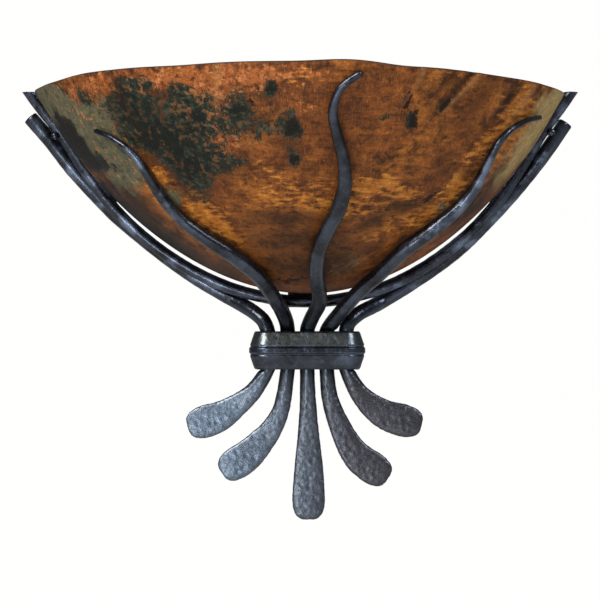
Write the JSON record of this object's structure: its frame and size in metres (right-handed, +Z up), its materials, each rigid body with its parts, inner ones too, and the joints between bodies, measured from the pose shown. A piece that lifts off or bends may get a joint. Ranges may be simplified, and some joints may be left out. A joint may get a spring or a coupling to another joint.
{
  "type": "wall sconce",
  "caption": "Forged iron wall sconce: a half-bowl copper shade cradled by curved bars that pass through a collar and spread into flat paddles, with lamps on a bracket inside.",
  "frame": {"origin": "centre of the mounting strap's two slots, on the wall", "axes": "+Z is up, +X is to the right seen from the room, and the front faces -Y; the wall is y = 0"},
  "size_m": [0.4543, 0.2406, 0.3504],
  "materials": {
    "iron": "forged and waxed black, satin",
    "copper": "copper sheet with a mottled brown, orange and dark green patina, lacquered",
    "zinc_steel": "zinc plated",
    "green_steel": "green zinc",
    "brass": "bare",
    "phenolic": "black phenolic",
    "lamp_metal": "tinned",
    "lamp_cap": "pressed",
    "frosted_glass": "frosted inside",
    "clear_glass": "clear",
    "lead_insulation": "black insulation",
    "connector": "tan"
  },
  "bodies": {
    "root": {"back_hoop": "iron", "outer_arm_left": "iron", "finger_left": "iron", "finger_centre": "iron", "finger_right": "iron", "outer_arm_right": "iron", "collar": "iron", "hoop_rivets": "iron", "cross_bar_left": "iron", "cross_bar_right": "iron", "back_spine": "iron", "wall_pan": "zinc_steel", "mounting_strap": "zinc_steel", "pan_studs": "zinc_steel", "cap_nuts": "brass", "ground_screw": "green_steel", "lamp_bracket": "zinc_steel", "bracket_nipple": "brass", "bracket_locknuts": "brass", "holder_left": "phenolic", "holder_right": "phenolic", "screw_shell_left": "brass", "screw_shell_right": "brass", "centre_contact_left": "brass", "centre_contact_right": "brass", "holder_nipples": "brass", "holder_locknuts": "brass", "lead_left": "lead_insulation", "lead_right": "lead_insulation", "wire_nuts": "connector"},
    "shade": {"shade": "copper"},
    "lamp_left_tip": {"lamp_tip_left": "lamp_metal"},
    "lamp_left": {"lamp_cap_left": "lamp_cap", "lamp_glass_left": "frosted_glass", "lamp_stem_left": "clear_glass", "lamp_filament_left": "lamp_metal"},
    "lamp_right_tip": {"lamp_tip_right": "lamp_metal"},
    "lamp_right": {"lamp_cap_right": "lamp_cap", "lamp_glass_right": "frosted_glass", "lamp_stem_right": "clear_glass", "lamp_filament_right": "lamp_metal"}
  },
  "joints": [
    {"name": "shade_lift", "type": "slide", "parent": "root", "child": "shade", "axis": [0, 0, 1], "range_m": [0, 0.035]},
    {"name": "lamp_left_travel", "type": "slide", "parent": "root", "child": "lamp_left_tip", "axis": [-0.766, 0, 0.6428], "range_m": [0, 0.0182]},
    {"name": "lamp_left_turn", "type": "hinge", "parent": "lamp_left_tip", "child": "lamp_left", "pos_m": [-0.018, -0.076, -0.01145], "axis": [-0.766, 0, 0.6428], "range_deg": [0, 1800]},
    {"name": "lamp_right_travel", "type": "slide", "parent": "root", "child": "lamp_right_tip", "axis": [0.766, 0, 0.6428], "range_m": [0, 0.0182]},
    {"name": "lamp_right_turn", "type": "hinge", "parent": "lamp_right_tip", "child": "lamp_right", "pos_m": [0.018, -0.076, -0.01145], "axis": [0.766, 0, 0.6428], "range_deg": [0, 1800]}
  ],
  "couplings": [
    {"joint": "lamp_left_travel", "follows": "lamp_left_turn", "m_per_rad": 0.00057757},
    {"joint": "lamp_right_travel", "follows": "lamp_right_turn", "m_per_rad": 0.00057757}
  ]
}
